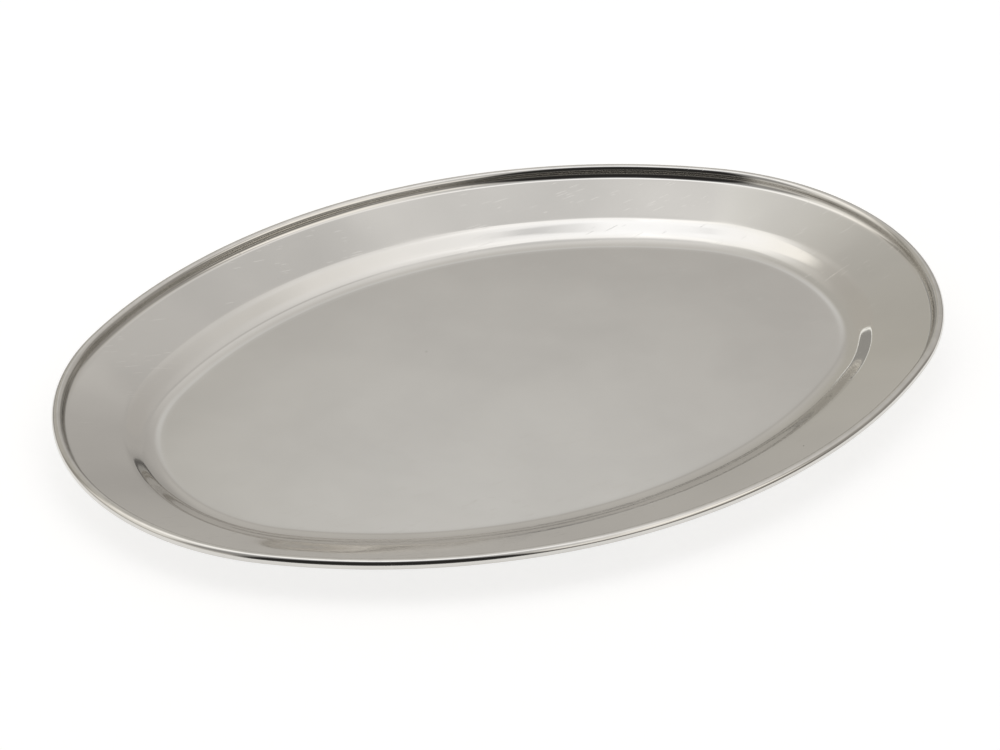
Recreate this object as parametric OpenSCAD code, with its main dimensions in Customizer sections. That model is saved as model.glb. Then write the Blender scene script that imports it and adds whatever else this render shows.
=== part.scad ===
// Oval serving tray: one sheet pressed to a flat well, a short sloping wall and a broad
// rim, with its edge turned up and rolled outwards over a closed ring of wire.
// Origin: centre of the underside of the well. X runs along the tray, Z points up.

/* [Tray] */
// Overall length over the rolled edge
tray_length = 450; // [400:5:500]
// Overall width over the rolled edge
tray_width = 320; // [300:5:340]
// Overall height over the rolled edge
tray_height = 21.5; // [20.5:0.5:25]
// Thickness of the sheet
sheet_thickness = 0.8; // [0.6:0.05:0.85]

/* [Rolled edge] */
// Outside diameter of the rolled edge
bead_diameter = 5; // [4.9:0.1:6]
// Diameter of the wire inside the roll
wire_diameter = 3.2; // [2:0.1:3.2]
// Gap between the ends of the wire ring
wire_gap = 1; // [0.5:0.1:3]
// How far the sheet is rolled past the inner side of the bead, in degrees
roll_sweep = 295; // [270:5:300]
// Depth of the foot of the upstand below the middle of the bead
upstand_depth = 3.1; // [2.9:0.1:4.5]
// Bend radius at the foot of the upstand, on the top side
upstand_radius = 3.2; // [1:0.1:3.4]

/* [Rim and well] */
// Distance from the outer edge in to the shoulder
shoulder_inset = 33.5; // [28:0.5:40]
// Depth of the shoulder below the middle of the bead
shoulder_depth = 12.1; // [10.5:0.2:13.5]
// Bend radius of the shoulder, on the top side
shoulder_radius = 16; // [6:1:20]
// Slope of the wall between the shoulder and the well, in degrees
wall_slope = 30; // [27:1:36]
// Bend radius between the wall and the well, on the top side
heel_radius = 22; // [8:1:26]

/* [Smoothness] */
// Angle between facets on a bend, in degrees
bend_step = 6; // [3:1:10]
// Facets in a full turn round the tray
$fn = 180; // [96:12:240]

/* [Hidden] */

half_length = tray_length / 2;
half_width = tray_width / 2;

// The outline is a four-centred oval whose arcs meet on the slope of a 3-4-5 triangle.
oval_unit = (half_length - half_width) / 2;
end_centre = 3 * oval_unit;
side_centre = 4 * oval_unit;
end_radius = half_length - end_centre;
side_radius = half_width + side_centre;

// The section is drawn along the middle of the sheet: X is the distance in from the
// outer edge and Y is the height.
half_sheet = sheet_thickness / 2;
bead_inset = bead_diameter / 2;
bead_height = tray_height - bead_diameter / 2;
roll_radius = bead_diameter / 2 - half_sheet;
upstand_inset = bead_inset + roll_radius;
shoulder_height = bead_height - shoulder_depth;
heel_inset = shoulder_inset + (shoulder_height - half_sheet) / tan(wall_slope);
flat_inset = ceil(heel_inset + (heel_radius + half_sheet) * tan(wall_slope / 2)) + 2;

// Corners of the section from the well to the bead, each with its bend radius.
section_corners = [
    [flat_inset, half_sheet, 0],
    [heel_inset, half_sheet, heel_radius + half_sheet],
    [shoulder_inset, shoulder_height, shoulder_radius - half_sheet],
    [upstand_inset, bead_height - upstand_depth, upstand_radius + half_sheet],
    [upstand_inset, bead_height, 0]
];

// Each entry of a path is a point and the sheet's heading there: [x, y, angle].
section_path = concat(
    [[flat_inset, half_sheet, 180]],
    bend(section_corners, 1),
    bend(section_corners, 2),
    bend(section_corners, 3),
    roll()
);

function point(corner) = [corner.x, corner.y];

function unit_vector(from, to) = (to - from) / norm(to - from);

// The arc that rounds one corner, tangent to the lines on both sides of it.
function bend(corners, i) =
    let (
        corner = point(corners[i]),
        radius = corners[i].z,
        before = unit_vector(point(corners[i - 1]), corner),
        after = unit_vector(corner, point(corners[i + 1])),
        turn = asin(before.x * after.y - before.y * after.x),
        side = sign(turn),
        start = corner - before * radius * tan(abs(turn) / 2),
        centre = start + side * radius * [-before.y, before.x],
        heading = atan2(before.y, before.x),
        steps = round(abs(turn) / bend_step)
    )
    [
        for (k = [0:steps])
        let (angle = heading + turn * k / steps)
        [
            centre.x + side * radius * sin(angle),
            centre.y - side * radius * cos(angle),
            angle
        ]
    ];

// The rolled edge, from the inner side of the bead over its top and round underneath.
function roll() =
    let (steps = round(roll_sweep / (2 * bend_step)))
    [
        for (k = [0:steps])
        let (angle = roll_sweep * k / steps)
        [
            bead_inset + roll_radius * cos(angle),
            bead_height + roll_radius * sin(angle),
            90 + angle
        ]
    ];

// A path moved sideways by a distance, off the middle of the sheet.
function beside(path, distance) =
    [for (p = path) [p.x + distance * sin(p.z), p.y - distance * cos(p.z)]];

function backwards(list) = [for (i = [len(list) - 1:-1:0]) list[i]];

module sheet_section() {
    polygon(concat(
        beside(section_path, half_sheet),
        backwards(beside(section_path, -half_sheet))
    ));
}

// The slices of the plane in which the outline follows the end arc and the side arc.
module end_slice() {
    polygon([
        [end_centre, 0],
        [5 * end_centre, 4 * side_centre],
        [5 * end_centre, -4 * side_centre]
    ]);
}

module side_slice() {
    polygon([
        [-end_centre, 0],
        [end_centre, 0],
        [4 * end_centre, 3 * side_centre],
        [-4 * end_centre, 3 * side_centre]
    ]);
}

// One full turn of a section that is drawn with X as the inset from the outer edge.
module arc_sweep(radius) {
    rotate_extrude()
        translate([radius, 0])
            mirror([1, 0])
                children();
}

module oval_sweep() {
    for (half_turn = [0, 180])
        rotate([0, 0, half_turn]) {
            intersection() {
                translate([end_centre, 0, 0])
                    arc_sweep(end_radius)
                        children();
                linear_extrude(2 * tray_height, center = true)
                    end_slice();
            }
            intersection() {
                translate([0, -side_centre, 0])
                    arc_sweep(side_radius)
                        children();
                linear_extrude(2 * tray_height, center = true)
                    side_slice();
            }
        }
}

// The part of the tray's plan that lies further in from its edge than the inset.
module oval_area(inset) {
    for (half_turn = [0, 180])
        rotate(half_turn) {
            intersection() {
                translate([end_centre, 0])
                    circle(end_radius - inset);
                end_slice();
            }
            intersection() {
                translate([0, -side_centre])
                    circle(side_radius - inset);
                side_slice();
            }
        }
}

module pressed_sheet() {
    color("silver") {
        oval_sweep()
            sheet_section();
        linear_extrude(sheet_thickness)
            oval_area(flat_inset);
    }
}

module rim_wire() {
    color("dimgray")
        difference() {
            oval_sweep()
                translate([bead_inset, bead_height])
                    circle(d = wire_diameter, $fn = 32);
            translate([-wire_gap / 2, half_width - bead_diameter, 0])
                cube([wire_gap, bead_diameter, tray_height]);
        }
}

pressed_sheet();
rim_wire();
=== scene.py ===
"""Oval steel serving tray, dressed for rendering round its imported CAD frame."""

import math

import bpy
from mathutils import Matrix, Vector


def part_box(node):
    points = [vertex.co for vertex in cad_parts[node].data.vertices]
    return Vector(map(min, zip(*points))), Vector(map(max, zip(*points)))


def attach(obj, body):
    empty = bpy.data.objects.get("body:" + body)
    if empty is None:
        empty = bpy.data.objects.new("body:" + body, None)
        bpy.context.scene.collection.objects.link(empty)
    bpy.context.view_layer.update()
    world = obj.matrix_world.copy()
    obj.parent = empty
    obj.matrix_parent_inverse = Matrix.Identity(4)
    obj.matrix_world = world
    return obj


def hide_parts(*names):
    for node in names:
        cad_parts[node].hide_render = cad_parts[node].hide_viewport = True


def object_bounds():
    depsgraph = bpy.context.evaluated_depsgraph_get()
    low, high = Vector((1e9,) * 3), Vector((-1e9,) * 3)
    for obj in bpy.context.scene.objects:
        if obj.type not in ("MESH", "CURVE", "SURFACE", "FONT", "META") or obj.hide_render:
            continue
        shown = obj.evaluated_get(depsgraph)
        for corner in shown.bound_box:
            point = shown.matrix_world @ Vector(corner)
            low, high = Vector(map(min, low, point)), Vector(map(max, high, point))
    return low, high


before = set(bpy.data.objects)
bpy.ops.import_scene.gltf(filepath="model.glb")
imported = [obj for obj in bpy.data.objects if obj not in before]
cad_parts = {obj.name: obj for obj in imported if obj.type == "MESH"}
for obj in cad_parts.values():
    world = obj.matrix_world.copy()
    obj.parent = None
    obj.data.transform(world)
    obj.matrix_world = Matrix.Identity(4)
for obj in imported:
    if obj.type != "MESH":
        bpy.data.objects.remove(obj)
cad_low, cad_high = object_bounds()

# ---------------------------------------------------------------- sizes, in metres
MM = 0.001
sheet_low, sheet_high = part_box("pressed_sheet")
HALF_LENGTH = (sheet_high.x - sheet_low.x) / 2
HALF_WIDTH = (sheet_high.y - sheet_low.y) / 2
TRAY_HEIGHT = sheet_high.z
SHEET = 0.8 * MM
BEAD_DIAMETER = 5 * MM
ROLL_SWEEP = math.radians(295)
UPSTAND_DEPTH = 3.1 * MM
UPSTAND_RADIUS = 3.2 * MM
SHOULDER_INSET = 33.5 * MM
SHOULDER_DEPTH = 12.1 * MM
SHOULDER_RADIUS = 16 * MM
WALL_SLOPE = math.radians(30)
HEEL_RADIUS = 22 * MM
FLAT_MARGIN = 2 * MM

# The four-centred outline: its arcs meet on the slope of a 3-4-5 triangle.
OVAL_UNIT = (HALF_LENGTH - HALF_WIDTH) / 2
END_CENTRE = 3 * OVAL_UNIT
SIDE_CENTRE = 4 * OVAL_UNIT
END_RADIUS = HALF_LENGTH - END_CENTRE
SIDE_RADIUS = HALF_WIDTH + SIDE_CENTRE
JUNCTION = math.atan2(SIDE_CENTRE, END_CENTRE)
QUARTER = math.pi / 2

# The section: X is the inset from the outer edge, Y the height.
BEAD_INSET = BEAD_DIAMETER / 2
BEAD_HEIGHT = TRAY_HEIGHT - BEAD_DIAMETER / 2
ROLL_RADIUS = (BEAD_DIAMETER - SHEET) / 2
UPSTAND_INSET = BEAD_INSET + ROLL_RADIUS
SHOULDER_HEIGHT = BEAD_HEIGHT - SHOULDER_DEPTH
HEEL_INSET = SHOULDER_INSET + (SHOULDER_HEIGHT - SHEET / 2) / math.tan(WALL_SLOPE)
FLAT_INSET = HEEL_INSET + (HEEL_RADIUS + SHEET / 2) * math.tan(WALL_SLOPE / 2) + FLAT_MARGIN

# A slight hollow that working the sheet left in the rim: its depth, the outline's normal
# angle at its middle, its spread to both sides of that, and the insets between which it
# falls away and comes back.
HOLLOW_DEPTH = 0.15 * MM
HOLLOW_TURN = math.radians(-125)
HOLLOW_SPREAD = math.radians(6)
HOLLOW_FALL = (20 * MM, 31 * MM)
HOLLOW_RETURN = (37 * MM, 47 * MM)

# How finely the sheet's mesh is divided.
END_STEPS = 96
SIDE_STEPS = 144
BEND_STEP = math.radians(2.5)
ROLL_STEP = 4 * BEND_STEP
WALL_STEPS = 4
RIM_STEPS = 16
WELL_RINGS = 40


# ---------------------------------------------------------------- the pressed sheet
def outline():
    """Point and outward normal of each step round the oval, for an inset of zero."""
    end = (JUNCTION, END_STEPS, END_RADIUS)
    side = (QUARTER - JUNCTION, SIDE_STEPS, SIDE_RADIUS)
    arcs = (
        (0, *end, (END_CENTRE, 0)),
        (QUARTER, *side, (0, -SIDE_CENTRE)),
        (2 * QUARTER, *end, (-END_CENTRE, 0)),
        (3 * QUARTER, *side, (0, SIDE_CENTRE)),
    )
    steps = []
    for middle, spread, count, radius, centre in arcs:
        for k in range(count):
            angle = middle - spread + 2 * spread * k / count
            normal = Vector((math.cos(angle), math.sin(angle)))
            steps.append((Vector(centre) + radius * normal, normal))
    return steps


def bend(before, corner, after, radius):
    """The arc that rounds a corner of the section: (point, heading) along it."""
    into, out = (corner - before).normalized(), (after - corner).normalized()
    turn = math.asin(into.x * out.y - into.y * out.x)
    side = math.copysign(1, turn)
    start = corner - into * radius * math.tan(abs(turn) / 2)
    centre = start + side * radius * Vector((-into.y, into.x))
    first_heading = math.atan2(into.y, into.x)
    count = max(2, round(abs(turn) / BEND_STEP))
    path = []
    for k in range(count + 1):
        angle = first_heading + turn * k / count
        offset = side * radius * Vector((math.sin(angle), -math.cos(angle)))
        path.append((centre + offset, angle))
    return path


def straight(start, end, count):
    """Entries that divide the line between two path entries, both left out."""
    return [(start[0].lerp(end[0], k / count), start[1]) for k in range(1, count)]


def section_path():
    """The middle of the sheet from the edge of the well out to the end of the roll."""
    well = Vector((FLAT_INSET, SHEET / 2))
    heel = Vector((HEEL_INSET, SHEET / 2))
    shoulder = Vector((SHOULDER_INSET, SHOULDER_HEIGHT))
    foot = Vector((UPSTAND_INSET, BEAD_HEIGHT - UPSTAND_DEPTH))
    top = Vector((UPSTAND_INSET, BEAD_HEIGHT))
    heel_bend = bend(well, heel, shoulder, HEEL_RADIUS + SHEET / 2)
    shoulder_bend = bend(heel, shoulder, foot, SHOULDER_RADIUS - SHEET / 2)
    foot_bend = bend(shoulder, foot, top, UPSTAND_RADIUS + SHEET / 2)
    path = [(well, math.pi)] + heel_bend
    path += straight(heel_bend[-1], shoulder_bend[0], WALL_STEPS) + shoulder_bend
    path += straight(shoulder_bend[-1], foot_bend[0], RIM_STEPS) + foot_bend
    bead_centre = Vector((BEAD_INSET, BEAD_HEIGHT))
    roll_steps = round(ROLL_SWEEP / ROLL_STEP)
    for k in range(roll_steps + 1):
        angle = ROLL_SWEEP * k / roll_steps
        spot = bead_centre + ROLL_RADIUS * Vector((math.cos(angle), math.sin(angle)))
        path.append((spot, QUARTER + angle))
    return path


def beside(path, distance):
    """The path moved sideways, off the middle of the sheet."""
    return [point + distance * Vector((math.sin(a), -math.cos(a))) for point, a in path]


def smooth(value, low, high):
    """Smooth change from 0 at low to 1 at high."""
    share = min(1, max(0, (value - low) / (high - low)))
    return share * share * (3 - 2 * share)


def hollow(inset, normal):
    """Depth of the rim's hollow at an inset, where the outline has the given normal."""
    turn = math.atan2(normal.y, normal.x) - HOLLOW_TURN
    across = smooth(inset, *HOLLOW_FALL) - smooth(inset, *HOLLOW_RETURN)
    return HOLLOW_DEPTH * across * math.exp(-((turn / HOLLOW_SPREAD) ** 2))


def sweep_faces(rings, around):
    """Quads between neighbouring rings of equal length, closed round the oval."""
    faces = []
    for ring in range(rings - 1):
        this, following = ring * around, (ring + 1) * around
        for k in range(around):
            beyond = (k + 1) % around
            faces.append((following + k, following + beyond, this + beyond, this + k))
    return faces


def make_object(name, vertices, faces, material):
    mesh = bpy.data.meshes.new(name)
    mesh.from_pydata(vertices, [], faces)
    mesh.polygons.foreach_set("use_smooth", [True] * len(mesh.polygons))
    mesh.update()
    obj = bpy.data.objects.new(name, mesh)
    bpy.context.scene.collection.objects.link(obj)
    obj.data.materials.append(material)
    return obj


def pressed_sheet(material):
    """One closed skin: well, wall, rim, roll and back along the underside."""
    path = section_path()
    top_side = beside(path, SHEET / 2)
    under_side = beside(path, -SHEET / 2)
    scales = [(k + 1) / WELL_RINGS for k in range(WELL_RINGS - 1)]
    rings = [(top_side[0], scale) for scale in scales]
    rings += [(spot, 1.0) for spot in top_side + under_side[::-1]]
    rings += [(under_side[0], scale) for scale in scales[::-1]]

    steps = outline()
    vertices = []
    for (inset, height), scale in rings:
        for point, normal in steps:
            spot = (point - inset * normal) * scale
            vertices.append((spot.x, spot.y, height - hollow(inset, normal)))
    top_centre, under_centre = len(vertices), len(vertices) + 1
    vertices += [(0, 0, top_side[0].y), (0, 0, under_side[0].y)]

    around = len(steps)
    last = (len(rings) - 1) * around
    faces = sweep_faces(len(rings), around)
    faces += [(k, (k + 1) % around, top_centre) for k in range(around)]
    faces += [(last + (k + 1) % around, last + k, under_centre) for k in range(around)]
    sheet = make_object("pressed_sheet_skin", vertices, faces, material)
    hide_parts("pressed_sheet")
    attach(sheet, "root")


# ---------------------------------------------------------------- node trees
class Graph:
    """Short calls for building a node tree: a value may be a number, a tuple or a socket."""

    def __init__(self, tree):
        self.tree = tree

    def add(self, kind, *values, **settings):
        node = self.tree.nodes.new(kind)
        for key, value in settings.items():
            setattr(node, key, value)
        for socket, value in zip(node.inputs, values):
            self.feed(socket, value)
        return node

    def feed(self, socket, value):
        if isinstance(value, bpy.types.NodeSocket):
            self.tree.links.new(value, socket)
        elif value is not None:
            socket.default_value = value

    def math(self, operation, *values):
        return self.add("ShaderNodeMath", *values, operation=operation).outputs[0]

    def dot(self, first, second):
        node = self.add("ShaderNodeVectorMath", first, second, operation="DOT_PRODUCT")
        return node.outputs["Value"]

    def step(self, value, low, high, start=0.0, end=1.0):
        """Smooth change from start at low to end at high."""
        return self.add("ShaderNodeMapRange", value, low, high, start, end,
                        interpolation_type="SMOOTHSTEP").outputs["Result"]

    def ramp(self, value, stops):
        """Colour by value: the first of the stops is at 0 and the last at 1."""
        node = self.add("ShaderNodeValToRGB", value)
        elements = node.color_ramp.elements
        for position, colour in stops[1:-1]:
            elements.new(position).color = (*colour, 1)
        elements[0].color = (*stops[0][1], 1)
        elements[-1].color = (*stops[-1][1], 1)
        return node.outputs["Color"]

    def blend(self, factor, first, second):
        """Colour first where factor is 0 and second where it is 1."""
        node = self.add("ShaderNodeMix", data_type="RGBA")
        self.feed(node.inputs["Factor"], factor)
        self.feed(node.inputs["A"], first)
        self.feed(node.inputs["B"], second)
        return node.outputs["Result"]


# ---------------------------------------------------------------- finish of the steel
# Scales are features per metre. Limits are the values of a noise between which its effect
# goes from nothing to all. Tones multiply the steel's colour, and a share says how far.
BLOTCH_SCALE, BLOTCH_LIMITS = 16, (0.38, 0.62)
BLOTCH_TONES = (0.97, 1.02)
SMUDGE_SCALE, SMUDGE_LIMITS = 34, (0.36, 0.68)
SMUDGE_ROUGHNESS = 0.045
FIBRE_SCALE = (90, 2600, 900)
FIBRE_DEPTH = 0.0015 * MM
WAVE_SCALE = 26
WAVE_DEPTH = 0.05 * MM

# Three sets of handling scratches, by degrees from the tray's length, each in patches.
SCRATCH_TURNS = (18, 67, 131)
SCRATCH_SCALE, SCRATCH_LIMITS = (75, 1500, 75), (0.765, 0.81)
PATCH_SCALE, PATCH_LIMITS, PATCH_TURN = 55, (0.55, 0.63), 11
SCRATCH_TONE, SCRATCH_SHARE = 1.12, 0.22
SCRATCH_ROUGHNESS = 0.08
SCRATCH_DEPTH = 0.012 * MM

# A pit lies in the middle of a few of the cells, with a soft edge between two distances.
PIT_SCALE, PIT_CHOICE = 130, (0.955, 0.965)
PIT_EDGE = (0.07, 0.03)
PIT_TONE, PIT_SHARE = 0.3, 0.7
PIT_DEPTH = 0.05 * MM

# Wear sets in over a band of height, in spots, and its darker tone there is partly painted shade
# on the bead's top.
WEAR_AND_SHADE_BAND = 2.5 * MM
WEAR_AND_SHADE_SCALE, WEAR_AND_SHADE_LIMITS = 120, (0.42, 0.66)
WEAR_AND_SHADE_TONE, WEAR_AND_SHADE_SHARE = 0.8, 0.35
WEAR_ROUGHNESS = 0.05


def steel(name, base, roughness, worn_and_shaded_from):
    """Polished sheet: uneven tone, smudges, fine grain, hair scratches, pits and a worn edge whose
    darker tone is partly painted shade.
    """
    material = bpy.data.materials.new(name)
    material.use_nodes = True
    g = Graph(material.node_tree)
    shader = material.node_tree.nodes["Principled BSDF"]
    place = g.add("ShaderNodeTexCoord").outputs["Object"]

    def noise(scale, detail, at=place):
        node = g.add("ShaderNodeTexNoise")
        g.feed(node.inputs["Vector"], at)
        node.inputs["Scale"].default_value = scale
        node.inputs["Detail"].default_value = detail
        return node.outputs["Fac"]

    def turned(degrees, scale):
        node = g.add("ShaderNodeMapping", place, vector_type="POINT")
        node.inputs["Rotation"].default_value = (0, 0, math.radians(degrees))
        node.inputs["Scale"].default_value = scale
        return node.outputs["Vector"]

    def shade(factor):
        return tuple(factor * channel for channel in base)

    def stained(colour, marks, share, factor):
        return g.blend(g.math("MULTIPLY", marks, share), colour, (*shade(factor), 1))

    blotches = noise(BLOTCH_SCALE, detail=3)
    smudges = noise(SMUDGE_SCALE, detail=6)
    fibre = noise(1, 2, turned(0, FIBRE_SCALE))
    scratches = None
    for degrees in SCRATCH_TURNS:
        lines = noise(1, 0, turned(degrees, SCRATCH_SCALE))
        patch = noise(PATCH_SCALE, 1, turned(degrees + PATCH_TURN, (1, 1, 1)))
        marks = g.math("MULTIPLY", g.step(lines, *SCRATCH_LIMITS), g.step(patch, *PATCH_LIMITS))
        scratches = marks if scratches is None else g.math("MAXIMUM", scratches, marks)
    cells = g.add("ShaderNodeTexVoronoi", feature="F1")
    g.feed(cells.inputs["Vector"], place)
    cells.inputs["Scale"].default_value = PIT_SCALE
    cell_value = g.add("ShaderNodeSeparateColor", cells.outputs["Color"]).outputs[0]
    round_spots = g.step(cells.outputs["Distance"], *PIT_EDGE)
    pits = g.math("MULTIPLY", round_spots, g.step(cell_value, *PIT_CHOICE))
    height = g.add("ShaderNodeSeparateXYZ", place).outputs["Z"]
    # Spots over the top band of height: wear, and also painted shade on the bead's top.
    edge = g.step(height, worn_and_shaded_from, worn_and_shaded_from + WEAR_AND_SHADE_BAND)
    wear_and_shade = g.math("MULTIPLY", edge, g.step(noise(WEAR_AND_SHADE_SCALE, detail=4), *WEAR_AND_SHADE_LIMITS))

    dark, light = (shade(factor) for factor in BLOTCH_TONES)
    low, high = BLOTCH_LIMITS
    tone = g.ramp(blotches, [(0, dark), (low, dark), (high, light), (1, light)])
    # Darkens the steel's colour in that band: partly wear, partly painted shade on the bead's top.
    tone = stained(tone, wear_and_shade, WEAR_AND_SHADE_SHARE, WEAR_AND_SHADE_TONE)
    tone = stained(tone, scratches, SCRATCH_SHARE, SCRATCH_TONE)
    tone = stained(tone, pits, PIT_SHARE, PIT_TONE)
    g.feed(shader.inputs["Base Color"], tone)

    rough = g.step(smudges, *SMUDGE_LIMITS, roughness, roughness + SMUDGE_ROUGHNESS)
    rough = g.math("ADD", rough, g.math("MULTIPLY", scratches, SCRATCH_ROUGHNESS))
    rough = g.math("ADD", rough, g.math("MULTIPLY", wear_and_shade, WEAR_ROUGHNESS))
    g.feed(shader.inputs["Roughness"], rough)

    shader.inputs["Metallic"].default_value = 1.0
    normal = None
    for value, depth, sunk in (
        (noise(WAVE_SCALE, detail=1), WAVE_DEPTH, False),
        (fibre, FIBRE_DEPTH, False),
        (scratches, SCRATCH_DEPTH, True),
        (pits, PIT_DEPTH, True),
    ):
        bump = g.add("ShaderNodeBump", invert=sunk)
        bump.inputs["Distance"].default_value = depth
        g.feed(bump.inputs["Height"], value)
        g.feed(bump.inputs["Normal"], normal)
        normal = bump.outputs["Normal"]
    g.feed(shader.inputs["Normal"], normal)
    return material


# ---------------------------------------------------------------- light, in degrees
# Azimuths are to the right of straight ahead of the camera.
VIEW_AZIMUTH = math.radians(-27)
VIEW_ELEVATION = math.radians(33.5)
ZENITH = 90
OVERHEAD = (0.99, 1.0, 1.03)
BACK = [(0, 0.22), (4, 0.12), (8, 0.1), (12, 0.05), (26, 0.035), (36, 0.025), (50, 0.03),
        (62, 0.05), (73, 0.12), (79, 0.3), (83, 0.62), (86, 1.4), (90, 1.5)]

# Each sector takes over from the one before between two azimuths. It has a tint at the
# horizon, which turns to the one overhead, and its light by elevation. An entry with a
# tint of its own keeps it.
SECTORS = [
    (None, (1, 0.97, 0.92), BACK),
    ((-155, -143), (1, 0.97, 0.92),
     [(0, 0.88), (6, 0.78), (14, 0.62), (22, 0.48), (32, 0.36), (52, 0.4), (66, 0.45),
      (78, 0.6), (83, 0.9), (86, 1.42), (90, 1.5)]),
    ((-126, -110), (1, 0.97, 0.91),
     [(0, 0.5), (9, 0.6), (14, 0.76), (22, 0.95), (30, 1.05), (61, 1.05), (72, 0.9),
      (80, 0.98), (86, 1.42), (90, 1.5)]),
    ((-99, -88), (1, 0.96, 0.89),
     [(0, 0.5), (9, 0.58), (16, 0.72), (24, 0.95), (40, 1.2), (50, 1.35), (90, 1.5)]),
    ((-76, -66), (1, 0.95, 0.85),
     [(0, 0.4), (20, 0.38), (36, 0.45), (42, 0.75), (47, 1.15), (55, 1.35), (90, 1.5)]),
    ((-60, -51), (1, 0.95, 0.86),
     [(0, 0.45), (8, 0.5), (13, 0.57), (35, 0.57), (43, 0.6), (49, 0.69), (55, 0.85),
      (61, 1.1, 1, 0.985, 0.96), (67, 1.36, 1, 0.99, 0.97), (90, 1.5)]),
    ((-24, -20), (1, 0.96, 0.87),
     [(0, 0.45), (8, 0.5), (13, 0.57), (35, 0.57), (43, 0.59), (49, 0.64), (55, 0.76),
      (61, 0.86, 1, 0.985, 0.96), (64, 0.97, 1, 0.99, 0.965), (67, 1.3, 1, 0.99, 0.97),
      (73, 1.5), (90, 1.5)]),
    ((-11.5, -1), (1, 0.965, 0.915),
     [(0, 0.58), (9, 0.58), (13, 0.62), (26, 0.65), (31, 0.58), (36, 0.8, 1, 0.99, 0.975),
      (43, 0.77), (49, 0.8), (55, 0.88), (61, 0.97), (65, 0.97), (67, 0.9), (70, 1.0),
      (73, 1.35), (78, 1.6), (86, 1.6), (90, 1.5)]),
    ((1, 9), (1, 0.965, 0.92),
     [(0, 0.42), (8, 0.45), (14, 0.48), (22, 0.55), (30, 0.58), (36, 0.65), (40, 0.71),
      (45, 0.8), (50, 0.88), (56, 0.94), (60, 0.92), (62, 0.88), (65, 0.84), (68, 0.88),
      (73, 1.4), (90, 1.5)]),
    ((18, 20.5), (1, 0.965, 0.92),
     [(0, 0.42), (8, 0.45), (14, 0.55), (30, 0.59), (43, 0.65), (49, 0.68), (57, 0.72),
      (59, 0.79), (61, 0.9), (63, 1.06), (66, 1.22), (69, 1.42), (90, 1.5)]),
    ((23.5, 26.5), (1, 0.96, 0.91),
     [(0, 0.42), (8, 0.5), (14, 0.57), (30, 0.61), (43, 0.68), (49, 0.77), (55, 0.88),
      (58, 0.98), (61, 1.05), (67, 1.16), (73, 1.42), (90, 1.5)]),
    ((50, 60), (1, 0.95, 0.88),
     [(0, 0.33), (20, 0.34), (30, 0.44), (41, 0.68), (49, 0.8), (55, 0.85), (61, 1.06),
      (67, 1.16), (73, 1.3), (90, 1.5)]),
    ((69, 78), (1, 0.95, 0.88),
     [(0, 0.33), (30, 0.4), (44, 0.45), (50, 0.58), (56, 0.8), (61, 1.04), (67, 1.16),
      (90, 1.5)]),
    ((84, 94), (1, 0.95, 0.87),
     [(0, 0.24), (12, 0.26), (20, 0.33), (26, 0.45), (33, 1.1), (46, 1.4), (56, 1.2),
      (79, 0.8), (84, 1.2), (87, 1.48), (90, 1.5)]),
    ((118, 130), (1, 0.96, 0.9),
     [(0, 0.3), (14, 0.32), (21, 0.48), (27, 0.95), (32, 1.2), (46, 1.1), (56, 0.7),
      (79, 0.65), (83, 0.9), (86, 1.42), (90, 1.5)]),
    ((145, 156), (1, 0.97, 0.92), BACK),
]

# Two dim wings stand ahead, to the right (1) and to the left (-1). Each has the azimuth and
# height of its near and far edge, its grey, and the colour and width of the trim on its top.
WINGS = (
    (1, (10.5, 6), (17, 9), (0.36, 0.35, 0.33, 1), (0.12, 0.115, 0.11, 1), 2.2),
    (-1, (10.5, 10), (24, 19.6), (0.38, 0.37, 0.35, 1), (1.25, 1.25, 1.2, 1), 1.2),
)
WING_SIDE_BLUR = 0.3
WING_TOP_BLUR = 0.2
WING_FADE = (56, 40)


def heading(azimuth):
    """Level unit vector toward an azimuth."""
    turn = math.radians(azimuth) - VIEW_AZIMUTH
    return Vector((math.sin(turn), math.cos(turn), 0))


def studio():
    """A room round the tray, lit from above and ahead, described by sectors of azimuth."""
    world = bpy.data.worlds.new("studio")
    bpy.context.scene.world = world
    world.use_nodes = True
    g = Graph(world.node_tree)

    def in_degrees(angle):
        return g.math("MULTIPLY", angle, 180 / math.pi)

    toward = g.add("ShaderNodeTexCoord").outputs["Generated"]
    ahead = g.dot(toward, heading(0))
    right = g.dot(toward, heading(90))
    up = g.dot(toward, (0, 0, 1))
    azimuth = in_degrees(g.math("ARCTAN2", right, ahead))
    elevation = in_degrees(g.math("ARCSINE", up))
    rise = g.math("DIVIDE", elevation, ZENITH)
    sky = None
    for edge, tint, stops in SECTORS:
        colours = []
        for degrees, value, *own_tint in stops:
            high = (degrees / ZENITH) ** 2
            mixed = own_tint or [t + (o - t) * high for t, o in zip(tint, OVERHEAD)]
            colours.append((degrees / ZENITH, tuple(value * t for t in mixed)))
        light = g.ramp(rise, colours)
        sky = light if sky is None else g.blend(g.step(azimuth, *edge), sky, light)
    for sign, (near_edge, near_top), (far_edge, far_top), grey, trim, trim_width in WINGS:
        out = g.math("MULTIPLY", azimuth, sign)
        top = g.step(out, near_edge, far_edge, near_top, far_top)
        below = g.math("SUBTRACT", top, elevation)
        beyond = g.step(out, near_edge - WING_SIDE_BLUR, near_edge + WING_SIDE_BLUR)
        beyond = g.math("MULTIPLY", beyond, g.step(out, *WING_FADE))
        inside = g.math("MULTIPLY", beyond, g.step(below, -WING_TOP_BLUR, WING_TOP_BLUR))
        sky = g.blend(inside, sky, grey)
        on_trim = g.step(below, trim_width + WING_TOP_BLUR, trim_width - WING_TOP_BLUR)
        sky = g.blend(g.math("MULTIPLY", inside, on_trim), sky, trim)
    g.feed(world.node_tree.nodes["Background"].inputs["Color"], sky)


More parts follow.
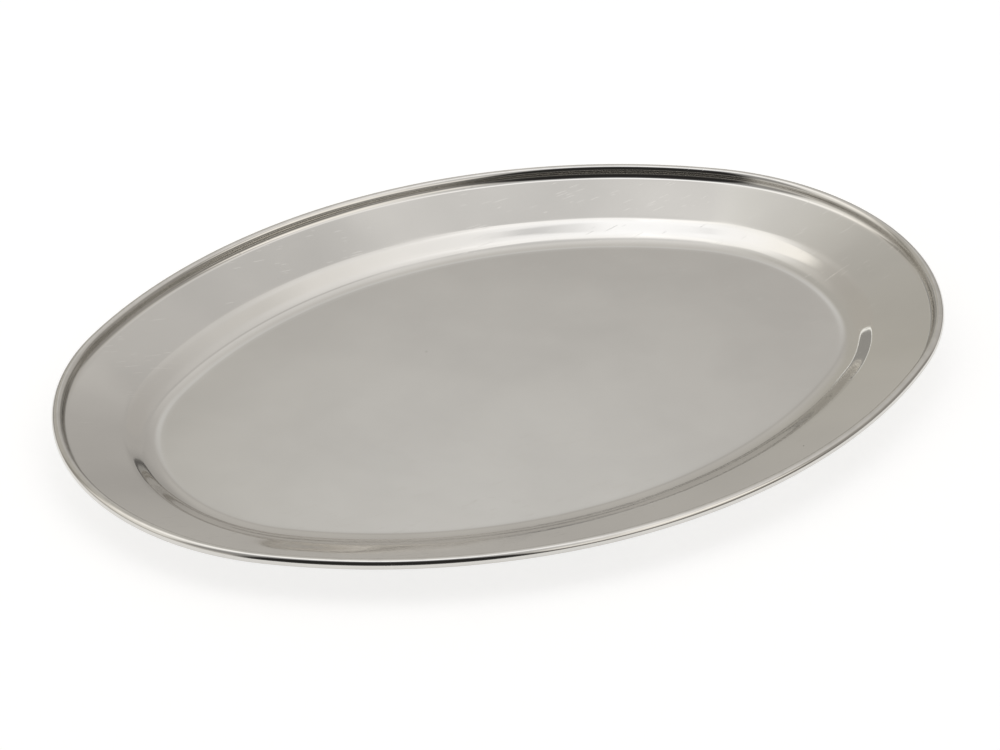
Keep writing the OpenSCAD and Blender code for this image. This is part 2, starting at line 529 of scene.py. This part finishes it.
# ---------------------------------------------------------------- camera and floor
# The camera's distance and the offset of what it aims at are in half lengths of the tray.
SENSOR_WIDTH = 36
LENS = 134.5
CAMERA_DISTANCE = 8
AIM_OFFSET = (-0.0554, -0.0762)
FLOOR_HALF_SIZE = 12
FLOOR_GAP = 0.2 * MM
FLOOR_GREY = (0.5, 0.5, 0.5, 1)
FLOOR_ROUGHNESS = 0.9
FLOOR_GLOW, GLOW_STRENGTH = (1, 1, 1, 1), 0.66


def camera():
    data = bpy.data.cameras.new("camera")
    cam = bpy.data.objects.new("camera", data)
    bpy.context.scene.collection.objects.link(cam)
    data.sensor_width = SENSOR_WIDTH
    data.lens = LENS
    target = Vector((*(offset * HALF_LENGTH for offset in AIM_OFFSET), BEAD_HEIGHT))
    back = Vector((
        math.sin(VIEW_AZIMUTH) * math.cos(VIEW_ELEVATION),
        -math.cos(VIEW_AZIMUTH) * math.cos(VIEW_ELEVATION),
        math.sin(VIEW_ELEVATION),
    ))
    distance = CAMERA_DISTANCE * HALF_LENGTH
    cam.location = Vector((0, 0, BEAD_HEIGHT)) + back * distance
    cam.rotation_mode = "QUATERNION"
    cam.rotation_quaternion = (target - cam.location).to_track_quat("-Z", "Y")
    bpy.context.scene.camera = cam


def floor():
    """A plain pale floor, just clear of the tray's underside."""
    material = bpy.data.materials.new("floor")
    material.use_nodes = True
    inputs = material.node_tree.nodes["Principled BSDF"].inputs
    inputs["Base Color"].default_value = FLOOR_GREY
    inputs["Emission Color"].default_value = FLOOR_GLOW
    inputs["Emission Strength"].default_value = GLOW_STRENGTH
    inputs["Roughness"].default_value = FLOOR_ROUGHNESS
    corners = [
        (x * FLOOR_HALF_SIZE, y * FLOOR_HALF_SIZE, 0)
        for x, y in ((-1, -1), (1, -1), (1, 1), (-1, 1))
    ]
    mesh = bpy.data.meshes.new("floor")
    mesh.from_pydata(corners, [], [(0, 1, 2, 3)])
    obj = bpy.data.objects.new("floor", mesh)
    bpy.context.scene.collection.objects.link(obj)
    obj.data.materials.append(material)
    obj.location.z = cad_low.z - FLOOR_GAP


# ---------------------------------------------------------------- the scene
camera()
studio()
floor()
pressed_sheet(steel("satin_steel", base=(0.66, 0.645, 0.615), roughness=0.04, worn_and_shaded_from=19.5 * MM))
wire = steel("steel_wire", base=(0.5, 0.49, 0.47), roughness=0.22, worn_and_shaded_from=TRAY_HEIGHT)
for material_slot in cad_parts["rim_wire"].material_slots:
    material_slot.material = wire
bpy.context.scene.view_settings.view_transform = "Standard"
